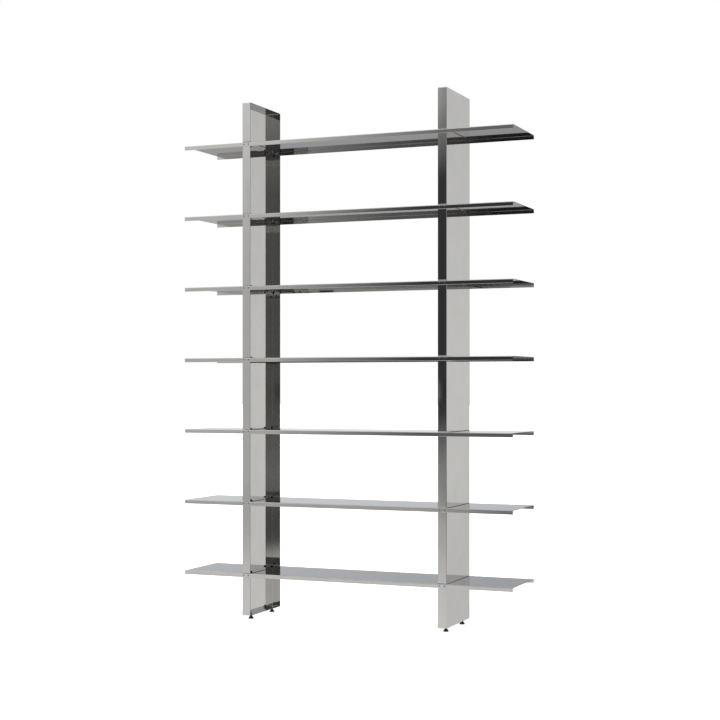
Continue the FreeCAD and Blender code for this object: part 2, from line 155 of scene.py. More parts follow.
def add_node(tree: bpy.types.NodeTree, kind: str, settings: dict[Any, Any] | None = None,
             links: dict[Any, bpy.types.NodeSocket] | None = None) -> bpy.types.Node:
    """Add a node with its settings and links.

    Args:
        tree: the node tree it goes into.
        kind: the node's type name.
        settings: attribute or input names with their values; stops are places with sRGB hex colours.
        links: input names or numbers with the output sockets that feed them.

    Returns:
        The new node.
    """
    node = tree.nodes.new(kind)
    for key, value in (settings or {}).items():
        if key == "stops":
            ramp = node.color_ramp.elements
            ramp.remove(ramp[-1])
            ramp[0].position = value[0][0]
            for place, _ in value[1:]:
                ramp.new(place)
            for element, (_, colour) in zip(ramp, value):
                element.color = linear(colour)
        elif isinstance(key, int) or key in node.inputs:
            node.inputs[key].default_value = value
        else:
            setattr(node, key, value)
    for key, socket in (links or {}).items():
        tree.links.new(socket, node.inputs[key])
    return node


def bare_material(name: str) -> bpy.types.Material:
    """Start a material that has no nodes yet.

    Args:
        name: the material's name.

    Returns:
        The material.
    """
    material = bpy.data.materials.new(name)
    material.use_nodes = True
    material.node_tree.nodes.clear()
    return material


def new_material(name: str) -> tuple[bpy.types.Material, bpy.types.Node]:
    """Start a material that has one shader.

    Args:
        name: the material's name.

    Returns:
        The material and its shader.
    """
    material = bare_material(name)
    shader = add_node(material.node_tree, "ShaderNodeBsdfPrincipled")
    add_node(material.node_tree, "ShaderNodeOutputMaterial", links={"Surface": shader.outputs["BSDF"]})
    return material, shader


# Finishes


@dataclass(frozen=True)
class PolishedStainless:
    """Stainless sheet, mirror polished on a wheel after folding.

    The eye sees a slightly warm grey mirror that is never quite flat: the sheet waves over a hand's
    breadth, the wheel leaves hair lines along its run, and a faint film of wiping dulls it in clouds.
    """

    name: str
    run: PolishRun
    tint: str = "#D1D0CE"
    cloud: str = "#CBCAC8"
    roughness: float = 0.045
    haze: float = 0.035
    # Polished steel hardly brightens at a glancing angle, so its edge colour is held down.
    glancing: str = "#DDDDDD"
    wave_mm: float = 190.0
    wave_height_mm: float = 0.030
    wave_detail: float = 1.5
    # Real hair lines lie about 0.2 mm apart; they are drawn at 2.5 mm so that they show at all.
    hair_mm: float = 2.5
    hair_height_mm: float = 0.0006
    hair_detail: float = 3.0
    film_mm: float = 70.0
    film_detail: float = 4.0
    film_roughness: float = 0.65
    # Where in the film's noise the tint gives way to the cloud, and where the haze sets in and is full.
    cloud_span: Span = (0.35, 0.75)
    haze_span: Span = (0.12, 0.45)

    def make(self) -> bpy.types.Material:
        """Make the finish.

        Returns:
            Its material.
        """
        material, shader = new_material(self.name)
        tree = material.node_tree
        place = add_node(tree, "ShaderNodeTexCoord").outputs["Object"]
        wave = add_node(tree, "ShaderNodeTexNoise", {"Scale": per_metre(self.wave_mm),
                                                    "Detail": self.wave_detail}, {"Vector": place})
        run = add_node(tree, "ShaderNodeMapping", {"Scale": self.run.value}, {"Vector": place})
        hair = add_node(tree, "ShaderNodeTexNoise", {"Scale": per_metre(self.hair_mm),
                                                    "Detail": self.hair_detail},
                        {"Vector": run.outputs["Vector"]})
        film = add_node(tree, "ShaderNodeTexNoise", {"Scale": per_metre(self.film_mm),
                                                    "Detail": self.film_detail,
                                                    "Roughness": self.film_roughness}, {"Vector": place})
        stops = tuple(zip(self.cloud_span, (self.tint, self.cloud)))
        colour = add_node(tree, "ShaderNodeValToRGB", {"stops": stops}, {"Fac": film.outputs["Fac"]})
        dull = add_node(tree, "ShaderNodeMath", {"operation": "MULTIPLY"},
                        {0: hair.outputs["Fac"], 1: film.outputs["Fac"]})
        rough = add_node(tree, "ShaderNodeMapRange", {"From Min": self.haze_span[0],
                                                      "From Max": self.haze_span[1],
                                                      "To Min": self.roughness,
                                                      "To Max": self.roughness + self.haze},
                         {"Value": dull.outputs["Value"]})
        swell = add_node(tree, "ShaderNodeBump", {"Distance": self.wave_height_mm * MM},
                         {"Height": wave.outputs["Fac"]})
        lines = add_node(tree, "ShaderNodeBump", {"Distance": self.hair_height_mm * MM},
                         {"Height": hair.outputs["Fac"], "Normal": swell.outputs["Normal"]})
        shader.inputs["Metallic"].default_value = 1.0
        shader.inputs["Specular Tint"].default_value = linear(self.glancing)
        tree.links.new(colour.outputs["Color"], shader.inputs["Base Color"])
        tree.links.new(rough.outputs["Result"], shader.inputs["Roughness"])
        tree.links.new(lines.outputs["Normal"], shader.inputs["Normal"])
        return material


@dataclass(frozen=True)
class WorkedMetal:
    """A small metal surface that was cut, turned or plated rather than polished.

    The eye sees a duller grey with a fine grain; tint and cloud give the plate's or the cut's own colour.
    """

    name: str
    tint: str
    cloud: str
    roughness: float
    spread: float
    grain_mm: float
    grain_height_mm: float
    metallic: float = 1.0
    grain_detail: float = 4.0
    # Cloudy patches are this many grains wide.
    patch_grains: float = 9.0
    patch_detail: float = 2.0
    # The part of the noise over which tint goes to cloud, and fine to coarse.
    noise_span: Span = (0.3, 0.7)

    def make(self) -> bpy.types.Material:
        """Make the finish.

        Returns:
            Its material.
        """
        material, shader = new_material(self.name)
        tree = material.node_tree
        place = add_node(tree, "ShaderNodeTexCoord").outputs["Object"]
        grain = add_node(tree, "ShaderNodeTexNoise", {"Scale": per_metre(self.grain_mm),
                                                     "Detail": self.grain_detail}, {"Vector": place})
        patch = add_node(tree, "ShaderNodeTexNoise", {"Scale": per_metre(self.grain_mm * self.patch_grains),
                                                     "Detail": self.patch_detail}, {"Vector": place})
        stops = tuple(zip(self.noise_span, (self.tint, self.cloud)))
        colour = add_node(tree, "ShaderNodeValToRGB", {"stops": stops}, {"Fac": patch.outputs["Fac"]})
        rough = add_node(tree, "ShaderNodeMapRange", {"From Min": self.noise_span[0],
                                                      "From Max": self.noise_span[1],
                                                      "To Min": self.roughness,
                                                      "To Max": self.roughness + self.spread},
                         {"Value": grain.outputs["Fac"]})
        bump = add_node(tree, "ShaderNodeBump", {"Distance": self.grain_height_mm * MM},
                        {"Height": grain.outputs["Fac"]})
        shader.inputs["Metallic"].default_value = self.metallic
        tree.links.new(colour.outputs["Color"], shader.inputs["Base Color"])
        tree.links.new(rough.outputs["Result"], shader.inputs["Roughness"])
        tree.links.new(bump.outputs["Normal"], shader.inputs["Normal"])
        return material


@dataclass(frozen=True)
class Finishes:
    """Every finish on the unit, made once."""

    shelf: bpy.types.Material
    tray: bpy.types.Material
    cut_edge: bpy.types.Material
    screw: bpy.types.Material
    black: bpy.types.Material
    zinc: bpy.types.Material
    pad: bpy.types.Material

    @classmethod
    def make(cls) -> Finishes:
        """Make all the materials.

        Returns:
            The finishes, each with its material.
        """
        return cls(
            shelf=PolishedStainless("polished_stainless_shelf", PolishRun.ALONG_SHELF).make(),
            tray=PolishedStainless("polished_stainless_tray", PolishRun.UP_TRAY).make(),
            # Laser-cut edge, deburred: its satin roughness is the steel's own, while its near-black colour
            # is painted shade, so that the edge reads as a line darker than the mirror beside it.
            cut_edge=WorkedMetal("laser_cut_edge_painted_shade", "#3A3938", "#2C2B2A", 0.32, 0.14, 1.2, 0.004).make(),
            # Plain turned stainless, dulled by hand: darker than the sheet, with a soft broken highlight.
            screw=WorkedMetal("turned_stainless_screw",
                              "#918E8B", "#777472", 0.26, 0.12, 0.9, 0.003).make(),
            # Blackened steel: a thin oxide that shows brown-black and half glossy.
            black=WorkedMetal("blackened_steel", "#1B1A1A", "#2A2826", 0.34, 0.14, 1.0, 0.004, 0.8).make(),
            # Clear zinc plate: pale, a little blue, with a fine crystal grain.
            zinc=WorkedMetal("zinc_plated_steel", "#C3C7CB", "#A9AEB4", 0.24, 0.14, 0.7, 0.004).make(),
            # Moulded nylon: black, matt, with the fine texture of the tool.
            pad=WorkedMetal("moulded_black_nylon",
                            "#121213", "#1B1B1C", 0.46, 0.16, 0.6, 0.010, 0.0).make(),
        )


# Modelling by operator

# A hexagon's turned edge: radius of the flat face as a share of the flats, and the edge's slope in degrees.
TURNED_FACE_SHARE = 0.475
TURNED_SLOPE = 30.0
# Where an edge isn't turned, the barrel that would turn it is wider than the corners by this share.
BARREL_SHARE = 1.02
BARREL_SIDES = 48
HEX_SIDES = 6
HEX_TURN = 30.0
# The bevel at both mouths of a nut's bore, and how far its tool runs past them, in millimetres.
BORE_BEVEL = 0.45
BORE_PAST = 0.05
BORE_SIDES = 24
# The strongest weight there is for a large face over a small one.
FLAT_FACE_WEIGHT = 100


def deselect_all() -> None:
    """Leave edit mode and let go of every object."""
    if bpy.context.object is not None and bpy.context.object.mode != "OBJECT":
        bpy.ops.object.mode_set(mode="OBJECT")
    bpy.ops.object.select_all(action="DESELECT")


def hold(*pieces: bpy.types.Object) -> None:
    """Select these pieces alone and make the first one active.

    Args:
        pieces: the pieces.
    """
    deselect_all()
    for piece in pieces:
        piece.select_set(True)
    bpy.context.view_layer.objects.active = pieces[0]


def settle(name: str) -> bpy.types.Object:
    """Name the new primitive and put its place and size into its mesh.

    Args:
        name: the piece's name.

    Returns:
        The piece.
    """
    piece = bpy.context.object
    piece.name = name
    piece.data.name = name
    bpy.ops.object.transform_apply(location=True, rotation=True, scale=True)
    return piece


def add_block(name: str, low: Point, high: Point) -> bpy.types.Object:
    """Add a block between two corners.

    Args:
        name: the piece's name.
        low: its lowest corner, in millimetres.
        high: its highest corner, in millimetres.

    Returns:
        The block.
    """
    deselect_all()
    size = [(b - a) * MM for a, b in zip(low, high)]
    middle = [(a + b) / 2 * MM for a, b in zip(low, high)]
    bpy.ops.mesh.primitive_cube_add(size=1, location=middle, scale=size)
    return settle(name)


def add_rod(name: str, radius: float, low: Point, length: float, sides: int = 32,
            along_y: bool = False) -> bpy.types.Object:
    """Add a rod that starts at a point and runs up, or towards +Y.

    Args:
        name: the piece's name.
        radius: its radius in millimetres.
        low: where its axis starts, in millimetres.
        length: how far it runs, in millimetres.
        sides: how many sides it is drawn with.
        along_y: whether it runs towards +Y instead of +Z.

    Returns:
        The rod.
    """
    deselect_all()
    middle = list(low)
    middle[1 if along_y else 2] += length / 2
    bpy.ops.mesh.primitive_cylinder_add(vertices=sides, radius=radius * MM, depth=length * MM,
                                        location=[c * MM for c in middle],
                                        rotation=(QUARTER_TURN if along_y else 0.0, 0.0, 0.0))
    return settle(name)


def pick(piece: bpy.types.Object, kind: Pick, test: Test) -> None:
    """Select faces or edges of a piece in edit mode.

    Args:
        piece: the piece, which is put into edit mode.
        kind: faces or edges.
        test: tells by the middle, and by a face's normal or an edge's direction, what is taken.
    """
    hold(piece)
    bpy.ops.object.mode_set(mode="EDIT")
    bpy.ops.mesh.select_mode(type=kind.value)
    bpy.ops.mesh.select_all(action="DESELECT")
    mesh = bmesh.from_edit_mesh(piece.data)
    if kind is Pick.FACES:
        for face in mesh.faces:
            face.select_set(test(face.calc_center_median(), face.normal))
    else:
        for edge in mesh.edges:
            ends = [vertex.co for vertex in edge.verts]
            edge.select_set(test((ends[0] + ends[1]) / 2, (ends[1] - ends[0]).normalized()))
    mesh.select_flush_mode()
    bmesh.update_edit_mesh(piece.data)


def bevel_picked(width: float, segments: int) -> None:
    """Round the picked edges by a width in millimetres."""
    bpy.ops.mesh.bevel(offset_type="OFFSET", offset=width * MM, segments=segments, affect="EDGES")


def delete_faces(piece: bpy.types.Object, test: Test) -> None:
    """Remove some faces of a piece.

    Args:
        piece: the piece.
        test: tells by its middle and normal whether a face goes.
    """
    pick(piece, Pick.FACES, test)
    bpy.ops.mesh.delete(type="FACE")
    bpy.ops.object.mode_set(mode="OBJECT")


def bevel_where(piece: bpy.types.Object, width: float, segments: int, test: Test) -> None:
    """Round some edges of a piece.

    Args:
        piece: the piece.
        width: how wide the round is, in millimetres.
        segments: how many flats draw it.
        test: tells by its middle and direction whether an edge is rounded.
    """
    pick(piece, Pick.EDGES, test)
    bevel_picked(width, segments)
    bpy.ops.object.mode_set(mode="OBJECT")


def bevel_sharp(piece: bpy.types.Object, width: float, segments: int, angle: float = 60.0) -> None:
    """Round every sharp edge of a piece.

    Args:
        piece: the piece.
        width: how wide the round is, in millimetres.
        segments: how many flats draw it.
        angle: edges that bend more than this are sharp, in degrees.
    """
    pick(piece, Pick.EDGES, lambda middle, along: False)
    bpy.ops.mesh.edges_select_sharp(sharpness=math.radians(angle))
    bevel_picked(width, segments)
    bpy.ops.object.mode_set(mode="OBJECT")


def thicken(piece: bpy.types.Object, sheet: float) -> None:
    """Give a folded surface its thickness, inwards.

    Args:
        piece: the folded surface.
        sheet: the sheet's thickness in millimetres.
    """
    hold(piece)
    wall = piece.modifiers.new("sheet", "SOLIDIFY")
    wall.thickness = sheet * MM
    wall.offset = -1.0
    wall.use_even_offset = True
    bpy.ops.object.modifier_apply(modifier=wall.name)


def join(name: str, pieces: Sequence[bpy.types.Object]) -> bpy.types.Object:
    """Join pieces into one.

    Args:
        name: the joined piece's name.
        pieces: what is joined.

    Returns:
        The joined piece.
    """
    hold(*pieces)
    if len(pieces) > 1:
        bpy.ops.object.join()
    piece = bpy.context.object
    piece.name = name
    piece.data.name = name
    return piece


def carve(piece: bpy.types.Object, tools: Sequence[bpy.types.Object], cut_kind: Cut = Cut.AWAY) -> None:
    """Cut a piece by tools, drop the slivers that this leaves, and throw the tools away.

    Args:
        piece: the piece.
        tools: closed forms that cut it.
        cut_kind: whether the tools' share is cut away or is all that stays.
    """
    tool = join(f"{piece.name}_tool", tools)
    hold(piece)
    cut = piece.modifiers.new("cut", "BOOLEAN")
    cut.operation = cut_kind.value
    cut.solver = "EXACT"
    cut.object = tool
    bpy.ops.object.modifier_apply(modifier=cut.name)
    bpy.ops.object.mode_set(mode="EDIT")
    bpy.ops.mesh.select_all(action="SELECT")
    bpy.ops.mesh.dissolve_degenerate(threshold=TOUCH)
    bpy.ops.object.mode_set(mode="OBJECT")
    bpy.data.objects.remove(tool)


def copy_moved(piece: bpy.types.Object, name: str, shift: Point, turned: bool = False) -> bpy.types.Object:
    """Copy a piece with its own mesh, turned half round the unit's axis if asked, then moved.

    Args:
        piece: what is copied.
        name: the copy's name.
        shift: how far it moves, in millimetres.
        turned: whether it turns half round the Z axis first.

    Returns:
        The copy.
    """
    hold(piece)
    bpy.ops.object.duplicate(linked=False)
    copy = bpy.context.object
    copy.name = name
    copy.data.name = name
    if turned:
        bpy.ops.transform.rotate(value=math.pi, orient_axis="Z", center_override=(0.0, 0.0, 0.0))
    bpy.ops.transform.translate(value=[c * MM for c in shift])
    bpy.ops.object.transform_apply(location=True, rotation=True, scale=True)
    return copy


def turn_form(name: str, profile: Profile, at: Point, sides: int) -> bpy.types.Object:
    """Build a round form as on a lathe: a disc, extruded and scaled from ring to ring.

    Args:
        name: the piece's name.
        profile: radius and height of each ring, in millimetres, from the first face to the last.
        at: the foot of its axis, in millimetres.
        sides: how many sides it is drawn with.

    Returns:
        The closed form, its axis upright.
    """
    deselect_all()
    radius, height = profile[0]
    bpy.ops.mesh.primitive_circle_add(vertices=sides, radius=radius * MM, fill_type="NGON",
                                      location=(at[0] * MM, at[1] * MM, (at[2] + height) * MM))
    piece = settle(name)
    axis = (at[0] * MM, at[1] * MM, 0.0)
    bpy.ops.object.mode_set(mode="EDIT")
    bpy.ops.mesh.select_mode(type="FACE")
    bpy.ops.mesh.select_all(action="SELECT")
    for next_radius, next_height in profile[1:]:
        bpy.ops.mesh.extrude_region_move(
            TRANSFORM_OT_translate={"value": (0.0, 0.0, (next_height - height) * MM)})
        share = next_radius / radius
        bpy.ops.transform.resize(value=(share, share, 1.0), center_override=axis)
        radius, height = next_radius, next_height
    close_up()
    return piece


def close_up() -> None:
    """Merge doubles and turn every face of the edited piece outwards, then leave edit mode."""
    bpy.ops.mesh.select_all(action="SELECT")
    bpy.ops.mesh.remove_doubles(threshold=TOUCH / 10)
    bpy.ops.mesh.normals_make_consistent(inside=False)
    if bmesh.from_edit_mesh(bpy.context.edit_object.data).calc_volume(signed=True) < 0.0:
        bpy.ops.mesh.flip_normals()
    bpy.ops.object.mode_set(mode="OBJECT")


def twist_thread(name: str, radius: float, depth: float, pitch: float, at: Point, length: float,
                 sides: int = 18, steps_per_turn: int = 12) -> bpy.types.Object:
    """Build a right-hand thread: an off-centre disc, extruded and turned a little at each step.

    Args:
        name: the piece's name.
        radius: the crest's radius in millimetres.
        depth: crest to root in millimetres.
        pitch: rise of one turn in millimetres.
        at: the foot of its axis, in millimetres.
        length: how far it runs up, in millimetres.
        sides: how many sides the disc has.
        steps_per_turn: how many rings make one turn.

    Returns:
        The closed thread.
    """
    deselect_all()
    bpy.ops.mesh.primitive_circle_add(vertices=sides, radius=(radius - depth / 2) * MM, fill_type="NGON",
                                      location=((at[0] + depth / 2) * MM, at[1] * MM, at[2] * MM))
    piece = settle(name)
    axis = (at[0] * MM, at[1] * MM, 0.0)
    steps = round(length / pitch * steps_per_turn)
    bpy.ops.object.mode_set(mode="EDIT")
    bpy.ops.mesh.select_mode(type="FACE")
    bpy.ops.mesh.select_all(action="SELECT")
    for _ in range(steps):
        bpy.ops.mesh.extrude_region_move(TRANSFORM_OT_translate={"value": (0.0, 0.0, length / steps * MM)})
        bpy.ops.transform.rotate(value=-2 * math.pi / steps_per_turn, orient_axis="Z", center_override=axis)
    close_up()
    return piece


def hexagon(name: str, flats: float, at: Point, height: float, low_edge: bool, high_edge: bool,
            bore: float = 0.0) -> bpy.types.Object:
    """Build a hexagon bar with the turned edges of a nut or a bolt head.

    Args:
        name: the piece's name.
        flats: width across flats in millimetres.
        at: the middle of its lower face, in millimetres.
        height: its height in millimetres.
        low_edge: whether the lower edge is turned off.
        high_edge: whether the upper edge is turned off.
        bore: diameter of a hole through it, in millimetres, or zero.

    Returns:
        The hexagon.
    """
    corner = flats / math.sqrt(3)
    face = flats * TURNED_FACE_SHARE
    drop = (corner - face) * math.tan(math.radians(TURNED_SLOPE))
    bar = add_rod(name, corner, at, height, sides=HEX_SIDES)
    hold(bar)
    bpy.ops.transform.rotate(value=math.radians(HEX_TURN), orient_axis="Z",
                             center_override=(at[0] * MM, at[1] * MM, 0.0))
    bpy.ops.object.transform_apply(location=True, rotation=True, scale=True)
    wide = corner * BARREL_SHARE
    profile: list[Span] = [(face, 0.0), (corner, drop)] if low_edge else [(wide, -OVERRUN)]
    profile += [(corner, height - drop), (face, height)] if high_edge else [(wide, height + OVERRUN)]
    carve(bar, [turn_form(f"{name}_barrel", profile, at, BARREL_SIDES)], Cut.SHARED)
    if bore:
        mouth = bore / 2 + BORE_BEVEL + BORE_PAST
        waist = [(mouth, -BORE_PAST), (bore / 2, BORE_BEVEL), (bore / 2, height - BORE_BEVEL),
                 (mouth, height + BORE_PAST)]
        carve(bar, [turn_form(f"{name}_bore", waist, at, BORE_SIDES)])
    return bar


def dress(piece: bpy.types.Object, materials: Sequence[bpy.types.Material], angle: float = 32.0) -> None:
    """Give a piece its materials and the smooth shading of its rounded folds.

    Args:
        piece: the finished mesh.
        materials: its main finish first; faces already marked for the second one keep it.
        angle: edges sharper than this stay sharp, in degrees.
    """
    for material in materials:
        piece.data.materials.append(material)
    hold(piece)
    bpy.ops.object.shade_smooth_by_angle(angle=math.radians(angle))
    weigh = piece.modifiers.new("flat_faces_stay_flat", "WEIGHTED_NORMAL")
    weigh.mode = "FACE_AREA"
    weigh.weight = FLAT_FACE_WEIGHT
    weigh.keep_sharp = True
    bpy.ops.object.modifier_apply(modifier=weigh.name)


def mark_faces(piece: bpy.types.Object, index: int, test: Test) -> None:
    """Give some faces another of the piece's materials.

    Args:
        piece: the piece.
        index: the material's number on the piece.
        test: tells by its middle and normal whether a face gets it.
    """
    for face in piece.data.polygons:
        if test(face.center, face.normal):
            face.material_index = index


def hand_in(piece: bpy.types.Object, body: str, slot: Slot, *nodes: str) -> None:
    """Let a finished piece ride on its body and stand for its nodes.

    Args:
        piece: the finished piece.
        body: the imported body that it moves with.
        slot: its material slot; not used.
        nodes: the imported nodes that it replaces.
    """
    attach(piece, body)
    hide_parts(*nodes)
    LOG.info("%s: %d faces, on %s", piece.name, len(piece.data.polygons), body)


# The unit's sizes and its sub-assemblies


@dataclass(frozen=True)
class Sizes:
    """Sizes that several sub-assemblies share, in millimetres."""

    shelf_count: int = 7
    pitch: float = 300.0
    lowest_top: float = 194.0
    shelf_length: float = 1450.0
    shelf_depth: float = 292.0
    shelf_sheet: float = 2.0
    tray_sheet: float = 1.5
    fold_gap: float = 0.1
    web_x: float = 452.0
    mouth_x: float = 415.0
    bolt_y: float = 99.9
    screw_half_spacing: float = 10.5
    screw_drop: float = 7.75
    base_z: float = 18.0

    @property
    def axis_x(self) -> float:
        """Return the X of an upright's middle line."""
        return (self.web_x + self.mouth_x) / 2

    @property
    def half_tray(self) -> float:
        """Return half of a tray's depth."""
        return self.shelf_depth / 2 - self.shelf_sheet - self.fold_gap

    def top_of(self, number: int) -> float:
        """Return the height of a shelf's top face; the lowest shelf is number one."""
        return self.lowest_top + (number - 1) * self.pitch


@dataclass
class Shelves:
    """The seven folded shelves."""

    sizes: Sizes
    finishes: Finishes
    flange: float = 17.0
    fold: float = 3.0
    bolt_hole: float = 3.3
    screw_hole: float = 1.7
    lip_round: float = 1.6
    deburr: float = 0.25
    fold_steps: int = 8
    lip_steps: int = 6
    deburr_steps: int = 2
    # How near an edge has to lie to the flange's outer lower corner to be its lip, in millimetres.
    lip_reach: float = 0.01

    def build(self) -> None:
        """Fold the lowest shelf, copy it upwards and dress every one."""
        s = self.sizes
        half_l, half_d, top = s.shelf_length / 2, s.shelf_depth / 2, s.top_of(1)
        first = add_block("shelf_1_sheet", (-half_l, -half_d, top - self.flange), (half_l, half_d, top))
        delete_faces(first, lambda middle, normal: abs(normal.x) > MOSTLY or normal.z < -MOSTLY)
        bevel_where(first, self.fold, self.fold_steps,
                    lambda middle, along: abs(along.x) > MOSTLY and abs(middle.z - top * MM) < TOUCH)
        thicken(first, s.shelf_sheet)
        lip_y, lip_z = (half_d - self.lip_reach) * MM, (top - self.flange + self.lip_reach) * MM
        bevel_where(first, self.lip_round, self.lip_steps,
                    lambda middle, along: (abs(along.x) > MOSTLY and abs(middle.y) > lip_y
                                           and middle.z < lip_z))
        bevel_sharp(first, self.deburr, self.deburr_steps)
        carve(first, list(self.holes(top)))
        end_x = (half_l - self.deburr) * MM
        # The shelf's two cut ends take the cut-edge finish, whose near-black colour is painted shade.
        mark_faces(first, 1, lambda middle, normal: abs(middle.x) > end_x)
        shelves = [first]
        for number in range(2, s.shelf_count + 1):
            shelves.append(copy_moved(first, f"shelf_{number}_sheet", (0.0, 0.0, s.pitch * (number - 1))))
        for number, shelf in enumerate(shelves, start=1):
            dress(shelf, (self.finishes.shelf, self.finishes.cut_edge))
            hand_in(shelf, FRAME_BODY, Slot.SHEET, f"shelf_{number}")

    def holes(self, top: float) -> Iterable[bpy.types.Object]:
        """Make a rod for each hole of a shelf: bolts through its top, screws through its flanges.

        Args:
            top: height of the shelf's upper face, in millimetres.

        Returns:
            The rods, one after another.
        """
        s = self.sizes
        # Each rod runs at least one sheet past the wall on either side.
        for side in Side:
            for end in End:
                place = (side.value * s.axis_x, end.value * s.bolt_y, top - 2 * s.shelf_sheet)
                yield add_rod("bolt_hole", self.bolt_hole, place, 3 * s.shelf_sheet, BOLT_HOLE_SIDES)
                for step in (-1, 1):
                    across = side.value * s.axis_x + step * s.screw_half_spacing
                    deep = end.value * s.shelf_depth / 2 - 2 * s.shelf_sheet
                    yield add_rod("screw_hole", self.screw_hole, (across, deep, top - s.screw_drop),
                                  4 * s.shelf_sheet, SCREW_HOLE_SIDES, along_y=True)


@dataclass
class Trays:
    """The folded trays that stack into the two uprights."""

    sizes: Sizes
    finishes: Finishes
    corner: float = 4.0
    fold: float = 2.5
    base_height: float = 174.0
    top_height: float = 166.0
    bolt_hole: float = 3.3
    foot_hole: float = 4.5
    screw_hole: float = 1.56
    deburr: float = 0.6
    fold_steps: int = 6
    deburr_steps: int = 2

    def build(self) -> None:
        """Fold one tray of each height for the left, and copy it to every other place."""
        s = self.sizes
        trays: list[bpy.types.Object] = []
        base = self.fold_tray("left_base_tray_sheet", s.base_z, self.base_height, self.foot_hole, True)
        bay = self.fold_tray("left_bay_tray_1_sheet", s.top_of(1), s.pitch - s.shelf_sheet,
                             self.bolt_hole, True)
        top = self.fold_tray("left_top_tray_sheet", s.top_of(s.shelf_count), self.top_height,
                             self.bolt_hole, False)
        for side in Side:
            turned = side is Side.RIGHT
            plan = [(base, "base_tray", 0.0)]
            plan += [(bay, f"bay_tray_{n}", s.pitch * (n - 1)) for n in range(1, s.shelf_count)]
            plan += [(top, "top_tray", 0.0)]
            for model, word, rise in plan:
                name = f"{side.word}_{word}"
                here = not turned and rise == 0.0
                tray = model if here else copy_moved(model, f"{name}_sheet", (0.0, 0.0, rise), turned)
                trays.append(tray)
        for tray in trays:
            dress(tray, (self.finishes.tray, self.finishes.cut_edge))
            hand_in(tray, FRAME_BODY, Slot.SHEET, tray.name.removesuffix("_sheet"))

    def fold_tray(self, name: str, low: float, height: float, floor_hole: float,
                  under_shelf: bool) -> bpy.types.Object:
        """Fold one tray of the left upright, its mouth towards +X.

        Args:
            name: the piece's name.
            low: height of its lower face, in millimetres.
            height: its own height, in millimetres.
            floor_hole: radius of the two holes in its floor, in millimetres.
            under_shelf: whether a shelf lies on it, so that its roof and faces are drilled too.

        Returns:
            The tray.
        """
        s = self.sizes
        web, mouth, half = -s.web_x, -s.mouth_x, s.half_tray
        tray = add_block(name, (web, -half, low), (mouth, half, low + height))
        delete_faces(tray, lambda middle, normal: normal.x > MOSTLY)
        bevel_where(tray, self.corner, self.fold_steps, lambda middle, along: abs(along.x) > MOSTLY)
        bevel_where(tray, self.fold, self.fold_steps,
                    lambda middle, along: abs(middle.x - web * MM) < TOUCH)
        thicken(tray, s.tray_sheet)
        bevel_sharp(tray, self.deburr, self.deburr_steps)
        carve(tray, list(self.holes(low, height, floor_hole, under_shelf)))
        # The tray's cut edges at its mouth take the cut-edge finish, whose near-black colour is painted
        # shade.
        mark_faces(tray, 1, lambda middle, normal: middle.x > (mouth - self.deburr) * MM)
        return tray

    def holes(self, low: float, height: float, floor_hole: float,
              under_shelf: bool) -> Iterable[bpy.types.Object]:
        """Make a rod for each hole of a tray.

        Args:
            low: height of its lower face, in millimetres.
            height: its own height, in millimetres.
            floor_hole: radius of the two holes in its floor, in millimetres.
            under_shelf: whether a shelf lies on it, so that its roof and faces are drilled too.

        Returns:
            The rods, one after another.
        """
        s = self.sizes
        for end in End:
            deep = end.value * s.bolt_y
            yield add_rod("floor_hole", floor_hole, (-s.axis_x, deep, low - s.tray_sheet),
                          3 * s.tray_sheet, BOLT_HOLE_SIDES)
            if not under_shelf:
                continue
            roof = low + height - 2 * s.tray_sheet
            yield add_rod("roof_hole", self.bolt_hole, (-s.axis_x, deep, roof), 3 * s.tray_sheet,
                          BOLT_HOLE_SIDES)
            face = end.value * s.half_tray - 2 * s.tray_sheet
            for step in (-1, 1):
                across = -s.axis_x + step * s.screw_half_spacing
                up = low + height + s.shelf_sheet - s.screw_drop
                yield add_rod("screw_hole", self.screw_hole, (across, face, up), 4 * s.tray_sheet,
                              SCREW_HOLE_SIDES, along_y=True)


